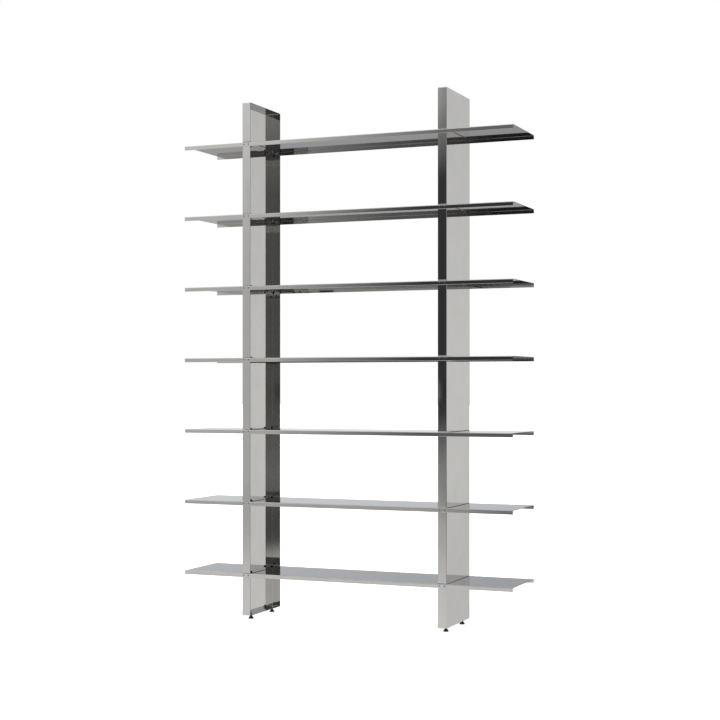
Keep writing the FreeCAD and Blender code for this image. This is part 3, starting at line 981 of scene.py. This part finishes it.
@dataclass
class StackFasteners:
    """The bolts, washers and nuts that clamp tray, shelf and tray at every crossing."""

    sizes: Sizes
    finishes: Finishes
    head_flats: float = 10.0
    head_height: float = 4.0
    shank: float = 3.0
    length: float = 16.0
    thread_length: float = 9.0
    thread_pitch: float = 1.0
    thread_depth: float = 0.5
    tip_height: float = 0.6
    tip_inset: float = 0.5
    shank_sides: int = 24
    tip_sides: int = 18
    washer_outer: float = 6.0
    washer_hole: float = 3.3
    washer_sheet: float = 1.6
    washer_round: float = 0.3
    washer_sides: int = 32
    nut_height: float = 5.0
    nut_bore: float = 6.12

    def build(self) -> None:
        """Model one bolt, one washer and one nut, and repeat them over both uprights."""
        s = self.sizes
        at = (-s.axis_x, -s.bolt_y)
        seat = s.top_of(1) + s.tray_sheet
        roof = s.top_of(1) - s.shelf_sheet - s.tray_sheet
        sets = (
            (self.bolt(at, seat), "stack_bolts", self.finishes.black, Slot.BLACKENED),
            (self.washer(at, roof), "stack_washers", self.finishes.zinc, Slot.NUT),
            (hexagon("stack_nut", self.head_flats, (*at, roof - self.washer_sheet - self.nut_height),
                     self.nut_height, True, True, self.nut_bore),
             "stack_nuts", self.finishes.zinc, Slot.NUT),
        )
        for model, word, finish, slot in sets:
            dress(model, (finish,))
            for side in Side:
                name = f"{side.word}_{word}"
                copies = []
                for end in End:
                    for number in range(s.shelf_count):
                        shift = ((side.value + 1) * s.axis_x, (end.value + 1) * s.bolt_y, number * s.pitch)
                        copies.append(copy_moved(model, name, shift))
                hand_in(join(f"{name}_set", copies), FRAME_BODY, slot, name)
            bpy.data.objects.remove(model)

    def bolt(self, at: tuple[float, float], seat: float) -> bpy.types.Object:
        """Model the bolt: a turned hexagon head, a plain shank and a threaded end.

        Args:
            at: its axis in the plane of the floor, in millimetres.
            seat: height of the face under its head, in millimetres.

        Returns:
            The bolt.
        """
        head = hexagon("bolt_head", self.head_flats, (*at, seat), self.head_height, False, True)
        plain = self.length - self.thread_length
        shank = turn_form("bolt_shank", ((self.shank, -plain), (self.shank, 0.0)), (*at, seat),
                          self.shank_sides)
        tip = seat - self.length
        thread = twist_thread("bolt_thread", self.shank, self.thread_depth, self.thread_pitch,
                              (*at, tip + self.tip_height), self.thread_length - self.tip_height)
        core = self.shank - self.thread_depth
        bevel = ((core - self.tip_inset, 0.0), (core, self.tip_height), (core, 2 * self.tip_height))
        point = turn_form("bolt_point", bevel, (*at, tip), self.tip_sides)
        return join("bolt", (head, shank, thread, point))

    def washer(self, at: tuple[float, float], roof: float) -> bpy.types.Object:
        """Model the washer: a pressed ring, its lower rim bevelled by the die.

        Args:
            at: its axis in the plane of the floor, in millimetres.
            roof: height of the face that it lies against, in millimetres.

        Returns:
            The washer.
        """
        low = roof - self.washer_sheet
        profile = ((self.washer_outer - self.washer_round, 0.0), (self.washer_outer, self.washer_round),
                   (self.washer_outer, self.washer_sheet))
        ring = turn_form("washer", profile, (*at, low), self.washer_sides)
        carve(ring, [add_rod("washer_hole", self.washer_hole, (*at, low - OVERRUN),
                             self.washer_sheet + 2 * OVERRUN, BOLT_HOLE_SIDES)])
        return ring


@dataclass
class FlangeScrews:
    """The button-head screws that pin each shelf's flange to the tray below."""

    sizes: Sizes
    finishes: Finishes
    head: float = 2.8
    head_height: float = 1.6
    rim: float = 0.5
    socket_flats: float = 2.0
    socket_depth: float = 0.9
    shank: float = 1.5
    shank_length: float = 7.0
    head_edge: float = 0.1
    # The dome is an arc of so many degrees, and this share of the head's radius stays flat inside it.
    dome_turn: float = 72.0
    dome_steps: int = 6
    dome_flat: float = 0.38
    sides: int = 24

    def build(self) -> None:
        """Model one screw on the left front and repeat it over both uprights, front and back."""
        s = self.sizes
        model = self.screw()
        dress(model, (self.finishes.screw,))
        for side in Side:
            for end in End:
                name = f"{side.word}_{end.word}_screws"
                turned = end is End.BACK
                copies = []
                for step in (-1, 1):
                    across = side.value * s.axis_x + step * s.screw_half_spacing
                    for number in range(1, s.shelf_count + 1):
                        shift = (across, end.value * s.shelf_depth / 2, s.top_of(number) - s.screw_drop)
                        copies.append(copy_moved(model, name, shift, turned))
                hand_in(join(f"{name}_set", copies), FRAME_BODY, Slot.SCREW, name)
        bpy.data.objects.remove(model)

    def screw(self) -> bpy.types.Object:
        """Model the screw at the origin: head towards -Y, shank towards +Y.

        Returns:
            The screw.
        """
        dome = [(self.shank, -self.shank_length), (self.shank, 0.0), (self.head - self.head_edge, 0.0),
                (self.head, self.head_edge), (self.head, self.rim)]
        rise = self.head_height - self.rim
        full = math.radians(self.dome_turn)
        for step in range(1, self.dome_steps + 1):
            turn = full * step / self.dome_steps
            dome.append((self.head * (self.dome_flat + (1 - self.dome_flat) * math.cos(turn)),
                         self.rim + rise * math.sin(turn) / math.sin(full)))
        screw = turn_form("flange_screw", dome, (0.0, 0.0, 0.0), self.sides)
        socket = add_rod("socket", self.socket_flats / math.sqrt(3),
                         (0.0, 0.0, self.head_height - self.socket_depth), self.socket_depth + OVERRUN,
                         sides=HEX_SIDES)
        carve(screw, [socket])
        hold(screw)
        screw.rotation_euler = (QUARTER_TURN, 0.0, 0.0)
        bpy.ops.object.transform_apply(location=True, rotation=True, scale=True)
        return screw


@dataclass
class Feet:
    """The four levelling feet: weld nuts and lock nuts on the frame, a stem and a pad on each foot."""

    sizes: Sizes
    finishes: Finishes
    nut_flats: float = 13.0
    weld_nut_height: float = 4.0
    lock_nut_height: float = 4.0
    nut_bore: float = 8.12
    stem: float = 4.0
    stem_pitch: float = 1.25
    stem_depth: float = 0.62
    stem_foot: float = 4.5
    stem_top: float = 29.0
    stem_bevel: float = 0.5
    tip_bevel: float = 0.7
    # How far the neck and the thread reach into the collar.
    neck_overlap: float = 1.0
    thread_overlap: float = 0.5
    neck_sides: int = 32
    thread_sides: int = 24
    collar_flats: float = 10.0
    collar_low: float = 8.8
    collar_height: float = 4.0
    pad_base: float = 11.0
    pad_top: float = 7.0
    pad_height: float = 8.5
    pad_rim: float = 2.5
    pad_socket: float = 4.3
    pad_bore: float = 4.06
    pad_sides: int = 48
    # The pad's rounds and bevels, each point as how far in or out it lies and how far up or down:
    # in and up from the sole's rim, in and down from the upright rim, out and down from the top, and out
    # and down from the mouth of the socket.
    pad_sole: Profile = ((2.2, 0.4), (1.8, 0.0), (0.6, 0.0), (0.18, 0.18), (0.0, 0.6))
    pad_rim_edge: Profile = ((0.0, 0.5), (0.15, 0.0))
    pad_crown: Profile = ((0.35, 0.45), (0.0, 0.12), (-0.5, 0.0))
    pad_mouth: Profile = ((0.6, 0.0), (0.0, 0.5))

    def build(self) -> None:
        """Model the left front foot's pieces once and copy them to the other three places."""
        s = self.sizes
        at = (-s.axis_x, -s.bolt_y)
        weld = hexagon("weld_nut", self.nut_flats, (*at, s.base_z + s.tray_sheet), self.weld_nut_height,
                       False, True, self.nut_bore)
        lock = hexagon("lock_nut", self.nut_flats, (*at, s.base_z - self.lock_nut_height),
                       self.lock_nut_height, True, True, self.nut_bore)
        stem, pad = self.make_stem(at), self.make_pad(at)
        mark_faces(stem, 1, lambda middle, normal: middle.z < (self.collar_low + self.collar_height) * MM)
        for model, materials in ((weld, (self.finishes.zinc,)), (lock, (self.finishes.black,)),
                                 (stem, (self.finishes.zinc, self.finishes.black)),
                                 (pad, (self.finishes.pad,))):
            dress(model, materials)
        for side in Side:
            for model, word, slot in ((weld, "weld_nuts", Slot.NUT), (lock, "lock_nuts", Slot.BLACKENED)):
                name = f"{side.word}_{word}"
                pair = [copy_moved(model, name, self.shift(side, end)) for end in End]
                hand_in(join(f"{name}_pair", pair), FRAME_BODY, slot, name)
            for end in End:
                foot = f"{side.word}_{end.word}_foot"
                hand_in(copy_moved(stem, f"{foot}_stem_threaded", self.shift(side, end)),
                        f"{foot}_stem", Slot.NUT, f"{foot}_stem")
                hand_in(copy_moved(pad, f"{foot}_pad_moulded", self.shift(side, end)),
                        f"{foot}_pad", Slot.PAD, f"{foot}_pad")
        for model in (weld, lock, stem, pad):
            bpy.data.objects.remove(model)

    def shift(self, side: Side, end: End) -> Point:
        """Return how far a foot lies from the left front one."""
        return ((side.value + 1) * self.sizes.axis_x, (end.value + 1) * self.sizes.bolt_y, 0.0)

    def make_stem(self, at: tuple[float, float]) -> bpy.types.Object:
        """Model the stem: swivel end, hexagon to turn it by, thread and bevelled tip.

        Args:
            at: its axis in the plane of the floor, in millimetres.

        Returns:
            The stem.
        """
        collar_top = self.collar_low + self.collar_height
        collar = hexagon("stem_collar", self.collar_flats, (*at, self.collar_low), self.collar_height,
                         True, True)
        foot = ((self.stem - self.stem_bevel, self.stem_foot),
                (self.stem, self.stem_foot + self.stem_bevel),
                (self.stem, self.collar_low + self.neck_overlap))
        neck = turn_form("stem_neck", foot, (*at, 0.0), self.neck_sides)
        core = self.stem - self.stem_depth
        bevel = ((core, -2 * self.tip_bevel), (core, -self.tip_bevel), (core - self.tip_bevel, 0.0))
        tip = turn_form("stem_tip", bevel, (*at, self.stem_top), self.thread_sides)
        thread = twist_thread("stem_thread", self.stem, self.stem_depth, self.stem_pitch,
                              (*at, collar_top - self.thread_overlap),
                              self.stem_top - self.tip_bevel - collar_top + self.thread_overlap,
                              sides=self.thread_sides)
        return join("stem", (collar, neck, thread, tip))

    def make_pad(self, at: tuple[float, float]) -> bpy.types.Object:
        """Model the pad: rounded sole, upright rim, sloping shoulder and the socket for the stem.

        Args:
            at: its axis in the plane of the floor, in millimetres.

        Returns:
            The pad.
        """
        base, top, height, bore = self.pad_base, self.pad_top, self.pad_height, self.pad_bore
        profile = [(base - inset, rise) for inset, rise in self.pad_sole]
        profile += [(base - inset, self.pad_rim - drop) for inset, drop in self.pad_rim_edge]
        profile += [(top + out, height - drop) for out, drop in self.pad_crown]
        profile += [(bore + out, height - drop) for out, drop in self.pad_mouth]
        profile.append((bore, height - self.pad_socket))
        return turn_form("pad", profile, (*at, 0.0), self.pad_sides)


# Studio


@dataclass(frozen=True)
class RoomLevel:
    """The room's light at one tilt of the view, by the angle from due front through left, back and right.

    The greys are estimates, worked out by hand: how bright a face of the steel looks over the share that
    steel reflects, and then adjusted by comparing renders.
    """

    tilt: float
    stops: tuple[tuple[float, str], ...]


@dataclass
class Studio:
    """The plain studio: pale floor, soft light, the room that polished sheet mirrors, and the camera."""

    camera_at: Point = (2.4319, -5.7619, 0.9844)
    camera_turn: float = 22.706
    lens: float = 75.29
    sensor: float = 36.0
    shift_up: float = 0.0335
    view_end: float = 200.0
    floor_half: float = 60.0
    floor_cuts: int = 8
    floor_colour: str = "#F4F4F3"
    floor_roughness: float = 0.9
    floor_sheen: float = 0.1
    floor_glow: float = 0.62
    sun: float = 1.5
    sun_at: Point = (0.6, -1.2, 5.2)
    sun_turn: Span = (12.0, 8.0)
    sun_width: float = 80.0
    lit_floor_half: float = 10.0
    lit_floor_fade: Span = (4.0, 9.0)
    lit_floor_at: Point = (-0.6, -0.8, -0.002)
    lit_floor_stops: tuple[tuple[float, str], ...] = (
        (0.0, "#EDECEB"), (1.0, "#E9E8E7"), (1.6, "#E1E0DF"), (3.0, "#CDCCCA"), (6.0, "#BCBCBB"))
    # The lit floor is dark to the right of a slanting line, and only in front of the unit.
    dark_floor: str = "#686867"
    dark_floor_slant: Point = (1.0, -0.53, 0.0)
    dark_floor_across: Span = (1.2, 2.3)
    dark_floor_ahead: Span = (-0.6, -1.4)
    # The flag's soft rims: left, low and high.
    flag_at: float = -6.3
    flag_left: Span = (-3.3, -1.95)
    flag_low: Span = (0.05, 0.75)
    flag_high: Span = (2.7, 3.35)
    flag_right_end: float = 5.0
    flag_stops: tuple[tuple[float, str], ...] = ((0.0, "#3A3B3E"), (0.35, "#3A3B3E"), (0.70, "#70706F"),
                                                 (1.0, "#70706F"))
    low_cards: tuple[tuple[float, float, str], ...] = (
        (-2.5, -1.81, "#787877"), (-1.70, -0.6, "#1C1D1F"), (2.33, 2.59, "#1C1D1F"))
    low_cards_at: float = -6.28
    low_cards_up: Span = (0.85, 1.0)
    card_cuts: int = 4
    floor_light: str = "#C0C1C2"
    floor_tilt: float = -25.0
    ceiling_light: str = "#FFFFFF"
    ceiling_tilt: float = 55.0
    levels: tuple[RoomLevel, ...] = (
        RoomLevel(-8.0, ((0, "#A8A8A7"), (20.0, "#A8A8A7"), (28.0, "#CBCBCA"), (60.0, "#D2D2D2"),
                         (90.0, "#BFBFBF"), (130.0, "#C2C4C6"), (151.0, "#C2C4C6"), (163.0, "#B4B6B9"),
                         (180.0, "#BEBFC0"), (199.0, "#F0F0EF"), (207.0, "#E9E9E8"), (250.0, "#9C9C9C"),
                         (300.0, "#7A7A7A"), (334.0, "#9A9A9A"))),
        RoomLevel(0.0, ((0, "#B3B3B2"), (20.0, "#B3B3B2"), (28.0, "#CBCBCA"), (60.0, "#D2D2D2"),
                        (90.0, "#C6C6C6"), (130.0, "#E4E5E6"), (151.0, "#FAFBFC"), (180.0, "#F6F6F6"),
                        (199.0, "#F9F9F8"), (207.0, "#EDEDEC"), (250.0, "#A0A0A0"), (300.0, "#7C7C7C"),
                        (334.0, "#9A9A9A"))),
        RoomLevel(4.0, ((0, "#A8A8A7"), (20.0, "#A8A8A7"), (28.0, "#CECECD"), (60.0, "#D2D2D2"),
                        (90.0, "#C6C6C6"), (130.0, "#E0E1E3"), (151.0, "#F1F3F6"), (163.0, "#E0E3E7"),
                        (180.0, "#E2E3E4"), (199.0, "#F5F5F4"), (207.0, "#E9E9E8"), (250.0, "#A0A0A0"),
                        (300.0, "#7C7C7C"), (334.0, "#9A9A9A"))),
        RoomLevel(7.0, ((0, "#8C8C8B"), (18.0, "#8C8C8B"), (22.0, "#B0B0AF"), (25.8, "#D6D6D5"),
                        (28.0, "#D9D9D8"), (60.0, "#D2D2D2"), (90.0, "#C6C6C6"), (130.0, "#DCDEE1"),
                        (151.0, "#DFE2E6"), (163.0, "#C5C9CE"), (180.0, "#CFD1D4"), (199.0, "#F2F2F1"),
                        (207.0, "#E6E6E5"), (250.0, "#A4A4A4"), (300.0, "#808080"), (334.0, "#9C9C9B"))),
        RoomLevel(10.5, ((0, "#8F8F8E"), (18.4, "#929291"), (20.3, "#B0B0AF"), (21.6, "#CACAC9"),
                         (23.7, "#DADAD9"), (25.8, "#EEEEED"), (28.0, "#EEEEED"), (60.0, "#D2D2D2"),
                         (90.0, "#C6C6C6"), (130.0, "#C8CACD"), (151.0, "#BEC2C7"), (180.0, "#C4C6C9"),
                         (199.0, "#F0F0EF"), (207.0, "#E3E3E2"), (250.0, "#B0B0B0"), (300.0, "#9C9C9C"),
                         (334.0, "#A4A4A3"))),
    )

    def build(self) -> None:
        """Set up floor, light, room and camera."""
        self.set_colours()
        self.lay_floor()
        self.lay_lit_floor()
        self.hang_flag()
        self.hang_low_cards()
        self.hang_light()
        self.paint_room()
        self.set_camera()

    def set_colours(self) -> None:
        """Show light as it is, so that white stays white."""
        view = bpy.context.scene.view_settings
        view.view_transform = "Standard"
        view.look = "None"

    def lay_floor(self) -> None:
        """Lay a pale matt floor that glows a little, as a light table does, so that shadows stay faint."""
        deselect_all()
        bpy.ops.mesh.primitive_grid_add(x_subdivisions=self.floor_cuts, y_subdivisions=self.floor_cuts,
                                        size=2 * self.floor_half)
        floor = settle("studio_floor")
        material, shader = new_material("pale_studio_floor")
        shader.inputs["Base Color"].default_value = linear(self.floor_colour)
        shader.inputs["Roughness"].default_value = self.floor_roughness
        shader.inputs["Specular IOR Level"].default_value = self.floor_sheen
        shader.inputs["Emission Color"].default_value = linear("#FFFFFF")
        shader.inputs["Emission Strength"].default_value = self.floor_glow
        floor.data.materials.append(material)
        floor.visible_glossy = False

    def lay_lit_floor(self) -> None:
        """Lay the floor that reflections see: bright by the unit, dark right of a slanting line."""
        deselect_all()
        bpy.ops.mesh.primitive_grid_add(x_subdivisions=self.card_cuts, y_subdivisions=self.card_cuts,
                                        size=2 * self.lit_floor_half,
                                        location=(0.0, 0.0, self.lit_floor_at[2]))
        patch = settle("studio_lit_floor")
        material = bare_material("lit_studio_floor")
        tree = material.node_tree
        place = add_node(tree, "ShaderNodeTexCoord").outputs["Object"]
        far = add_node(tree, "ShaderNodeVectorMath", {"operation": "DISTANCE", 1: self.lit_floor_at},
                       {0: place})
        axes = add_node(tree, "ShaderNodeSeparateXYZ", links={0: place})
        ahead = add_node(tree, "ShaderNodeMapRange", {"From Max": -self.lit_floor_half},
                         {"Value": axes.outputs["Y"]})
        stops = tuple((reach / self.lit_floor_half, colour) for reach, colour in self.lit_floor_stops)
        lit = add_node(tree, "ShaderNodeValToRGB", {"stops": stops}, {"Fac": ahead.outputs["Result"]})
        across = add_node(tree, "ShaderNodeVectorMath", {"operation": "DOT_PRODUCT",
                                                         1: self.dark_floor_slant}, {0: place})
        shade = add_node(tree, "ShaderNodeMapRange", {"interpolation_type": "SMOOTHSTEP",
                                                      "From Min": self.dark_floor_across[0],
                                                      "From Max": self.dark_floor_across[1]},
                         {"Value": across.outputs["Value"]})
        front = add_node(tree, "ShaderNodeMapRange", {"From Min": self.dark_floor_ahead[0],
                                                      "From Max": self.dark_floor_ahead[1]},
                         {"Value": axes.outputs["Y"]})
        dark = add_node(tree, "ShaderNodeMath", {"operation": "MULTIPLY"},
                        {0: shade.outputs["Result"], 1: front.outputs["Result"]})
        mixed = add_node(tree, "ShaderNodeMix", {"data_type": "RGBA", 7: linear(self.dark_floor)},
                         {0: dark.outputs["Value"], 6: lit.outputs["Color"]})
        glow = add_node(tree, "ShaderNodeEmission", links={"Color": mixed.outputs[2]})
        fade = add_node(tree, "ShaderNodeMapRange", {"From Min": self.lit_floor_fade[0],
                                                     "From Max": self.lit_floor_fade[1]},
                        {"Value": far.outputs["Value"]})
        clear = add_node(tree, "ShaderNodeBsdfTransparent")
        final = add_node(tree, "ShaderNodeMixShader", links={0: fade.outputs["Result"], 1: glow.outputs[0],
                                                             2: clear.outputs[0]})
        add_node(tree, "ShaderNodeOutputMaterial", links={"Surface": final.outputs[0]})
        self.show_to_mirrors_only(patch, material)

    def hang_flag(self) -> None:
        """Hang the dark flag in front, which gives the polished faces their black; its rim is soft."""
        left, right = self.flag_left[0], self.flag_right_end
        low, high = self.flag_low[0], self.flag_high[1]
        flag = self.hang_card("studio_flag", (left, right), (low, high), self.flag_at)
        material = bare_material("dark_studio_flag")
        tree = material.node_tree
        axes = add_node(tree, "ShaderNodeSeparateXYZ",
                        links={0: add_node(tree, "ShaderNodeTexCoord").outputs["Object"]})
        cover: bpy.types.NodeSocket | None = None
        rims = (("X", self.flag_left), ("Z", self.flag_low), ("Z", self.flag_high[::-1]))
        for axis, (start, end) in rims:
            rim = add_node(tree, "ShaderNodeMapRange", {"From Min": start, "From Max": end},
                           {"Value": axes.outputs[axis]})
            if cover is None:
                cover = rim.outputs["Result"]
                continue
            both = add_node(tree, "ShaderNodeMath", {"operation": "MULTIPLY"},
                            {0: cover, 1: rim.outputs["Result"]})
            cover = both.outputs["Value"]
        along = add_node(tree, "ShaderNodeMapRange", {"From Min": left, "From Max": right},
                         {"Value": axes.outputs["X"]})
        shade = add_node(tree, "ShaderNodeValToRGB", {"stops": self.flag_stops},
                         {"Fac": along.outputs["Result"]})
        glow = add_node(tree, "ShaderNodeEmission", links={"Color": shade.outputs["Color"]})
        clear = add_node(tree, "ShaderNodeBsdfTransparent")
        mixed = add_node(tree, "ShaderNodeMixShader", links={0: cover, 1: clear.outputs[0],
                                                             2: glow.outputs[0]})
        add_node(tree, "ShaderNodeOutputMaterial", links={"Surface": mixed.outputs[0]})
        self.show_to_mirrors_only(flag, material)

    def hang_low_cards(self) -> None:
        """Hang a grey and two black cards at eye height, for the corners under the upper shelves."""
        for left, right, colour in self.low_cards:
            card = self.hang_card("studio_low_card", (left, right), self.low_cards_up, self.low_cards_at)
            material = bare_material("low_studio_card")
            glow = add_node(material.node_tree, "ShaderNodeEmission", {"Color": linear(colour)})
            add_node(material.node_tree, "ShaderNodeOutputMaterial", links={"Surface": glow.outputs[0]})
            self.show_to_mirrors_only(card, material)

    def hang_card(self, name: str, across: Span, up: Span, deep: float) -> bpy.types.Object:
        """Hang an upright card that faces the unit.

        Args:
            name: the card's name.
            across: X of its left and right edge.
            up: Z of its lower and upper edge.
            deep: its Y.

        Returns:
            The card.
        """
        deselect_all()
        bpy.ops.mesh.primitive_grid_add(x_subdivisions=self.card_cuts, y_subdivisions=self.card_cuts,
                                        size=1.0, location=(sum(across) / 2, deep, sum(up) / 2),
                                        rotation=(QUARTER_TURN, 0.0, 0.0))
        bpy.ops.transform.resize(value=(across[1] - across[0], 1.0, up[1] - up[0]))
        return settle(name)

    def show_to_mirrors_only(self, card: bpy.types.Object, material: bpy.types.Material) -> None:
        """Finish a studio card that only reflections see.

        Args:
            card: the card.
            material: what it is made of.
        """
        card.data.materials.append(material)
        card.visible_camera = False
        card.visible_diffuse = False
        card.visible_shadow = False

    def hang_light(self) -> None:
        """Hang one wide soft light overhead, a little in front."""
        deselect_all()
        bpy.ops.object.light_add(type="SUN", location=self.sun_at,
                                 rotation=(*map(math.radians, self.sun_turn), 0.0))
        lamp = bpy.context.object
        lamp.name = "soft_overhead_light"
        lamp.data.energy = self.sun
        lamp.data.angle = math.radians(self.sun_width)
        lamp.visible_glossy = False

    def paint_room(self) -> None:
        """Give reflections a room: light backdrop behind, light panels left, a duller side right."""
        world = bpy.data.worlds.new("studio_room")
        bpy.context.scene.world = world
        world.use_nodes = True
        tree = world.node_tree
        tree.nodes.clear()
        way = add_node(tree, "ShaderNodeTexCoord").outputs["Generated"]
        axes = add_node(tree, "ShaderNodeSeparateXYZ", links={0: way})
        turn = add_node(tree, "ShaderNodeMath", {"operation": "ARCTAN2"},
                        {0: axes.outputs["X"], 1: axes.outputs["Y"]})
        round_way = add_node(tree, "ShaderNodeMapRange", {"From Min": -math.pi, "From Max": math.pi},
                             {"Value": turn.outputs["Value"]})
        tilt = add_node(tree, "ShaderNodeMath", {"operation": "ARCSINE"}, {0: axes.outputs["Z"]})
        floor = add_node(tree, "ShaderNodeRGB")
        floor.outputs[0].default_value = linear(self.floor_light)
        ceiling = add_node(tree, "ShaderNodeRGB")
        ceiling.outputs[0].default_value = linear(self.ceiling_light)
        steps: list[tuple[float, bpy.types.NodeSocket]] = [(self.floor_tilt, floor.outputs[0])]
        for level in self.levels:
            stops = [(angle / FULL_CIRCLE, colour) for angle, colour in level.stops]
            ramp = add_node(tree, "ShaderNodeValToRGB", {"stops": (*stops, (1.0, stops[0][1]))},
                            {"Fac": round_way.outputs["Result"]})
            steps.append((level.tilt, ramp.outputs["Color"]))
        steps.append((self.ceiling_tilt, ceiling.outputs[0]))
        light = steps[0][1]
        for (low, _), (high, colour) in zip(steps, steps[1:]):
            share = add_node(tree, "ShaderNodeMapRange", {"From Min": math.radians(low),
                                                          "From Max": math.radians(high)},
                             {"Value": tilt.outputs["Value"]})
            mixed = add_node(tree, "ShaderNodeMix", {"data_type": "RGBA"},
                             {0: share.outputs["Result"], 6: light, 7: colour})
            light = mixed.outputs[2]
        seen = add_node(tree, "ShaderNodeBackground", {"Color": (1.0, 1.0, 1.0, 1.0)})
        mirrored = add_node(tree, "ShaderNodeBackground", links={"Color": light})
        path = add_node(tree, "ShaderNodeLightPath")
        final = add_node(tree, "ShaderNodeMixShader", links={0: path.outputs["Is Camera Ray"],
                                                             1: mirrored.outputs[0], 2: seen.outputs[0]})
        add_node(tree, "ShaderNodeOutputWorld", links={"Surface": final.outputs[0]})

    def set_camera(self) -> None:
        """Stand the camera where the photograph was taken from, level, with its lens shifted up."""
        deselect_all()
        bpy.ops.object.camera_add(location=self.camera_at,
                                  rotation=(QUARTER_TURN, 0.0, math.radians(self.camera_turn)))
        camera = bpy.context.object
        camera.name = "camera"
        camera.data.sensor_width = self.sensor
        camera.data.lens = self.lens
        camera.data.shift_y = self.shift_up
        camera.data.clip_end = self.view_end
        bpy.context.scene.camera = camera


def main() -> None:
    """Load the frame, build each sub-assembly and set up the studio."""
    logging.basicConfig(level=logging.INFO, format="%(message)s")
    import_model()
    sizes = Sizes()
    finishes = Finishes.make()
    Shelves(sizes, finishes).build()
    Trays(sizes, finishes).build()
    StackFasteners(sizes, finishes).build()
    FlangeScrews(sizes, finishes).build()
    Feet(sizes, finishes).build()
    Studio().build()


if __name__ == "__main__":
    main()
